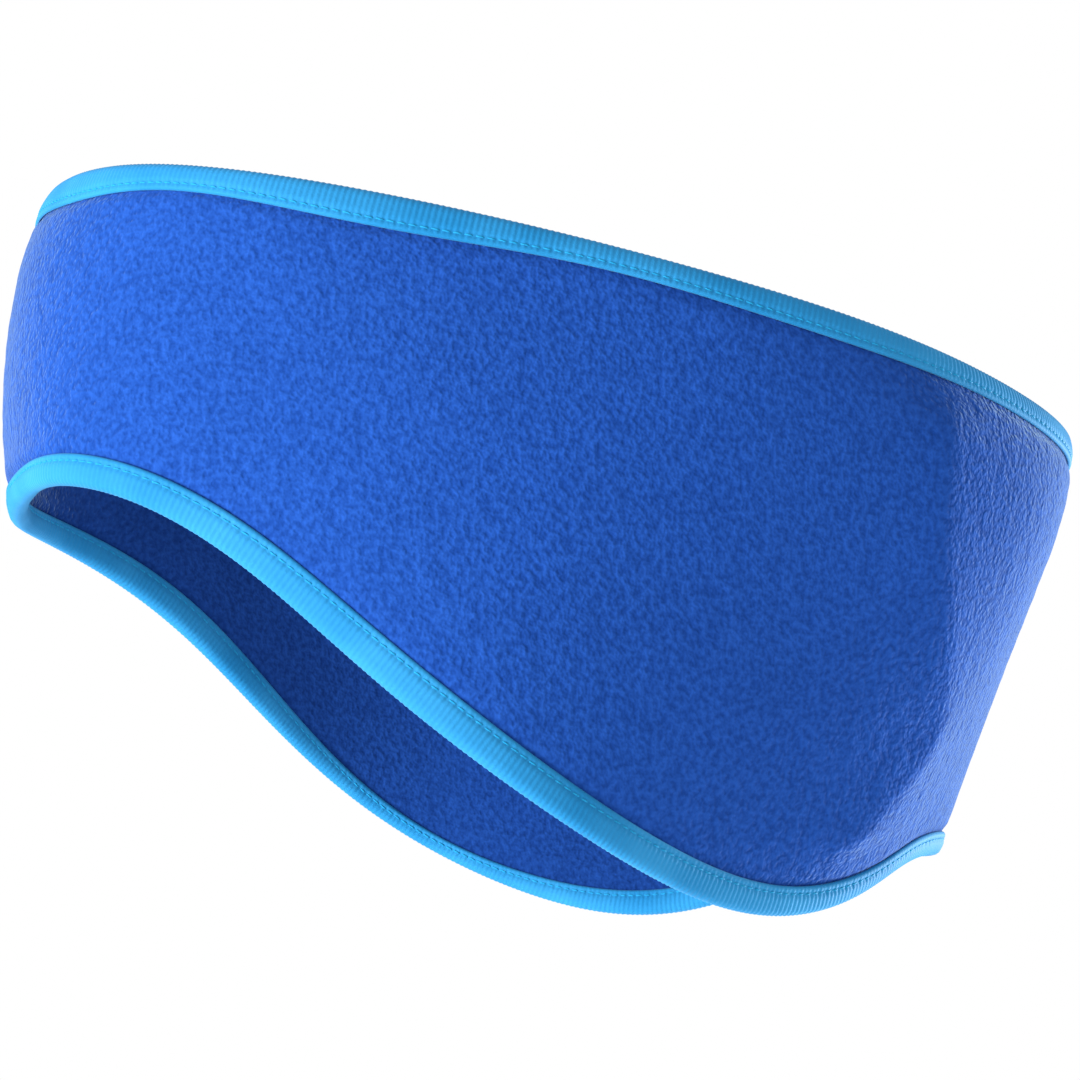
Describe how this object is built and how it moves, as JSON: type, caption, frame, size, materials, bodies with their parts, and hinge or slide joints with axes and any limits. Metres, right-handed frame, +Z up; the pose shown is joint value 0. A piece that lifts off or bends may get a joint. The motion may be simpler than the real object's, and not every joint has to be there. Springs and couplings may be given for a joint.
{
  "type": "fleece ear warmer headband",
  "caption": "Closed fleece headband, narrow over the forehead and deep over ears and nape, with ribbed binding folded over its upper and lower edges.",
  "frame": {"origin": "centre of the head opening, at the middle of the head that the band sits on, level with the brow", "axes": "+Z up as worn, -Y the way the wearer faces, +X the wearer's left; the band is tilted 13 degrees about X, forehead up, as it sits on a head"},
  "size_m": [0.155, 0.1946, 0.1279],
  "materials": {
    "fleece": "brushed polyester fleece, matt, short pebbled nap, royal blue",
    "binding": "fine cross-ribbed stretch binding, soft sheen, light blue"
  },
  "bodies": {
    "root": {"fleece_band": "fleece", "top_binding": "binding", "bottom_binding": "binding"}
  },
  "joints": []
}
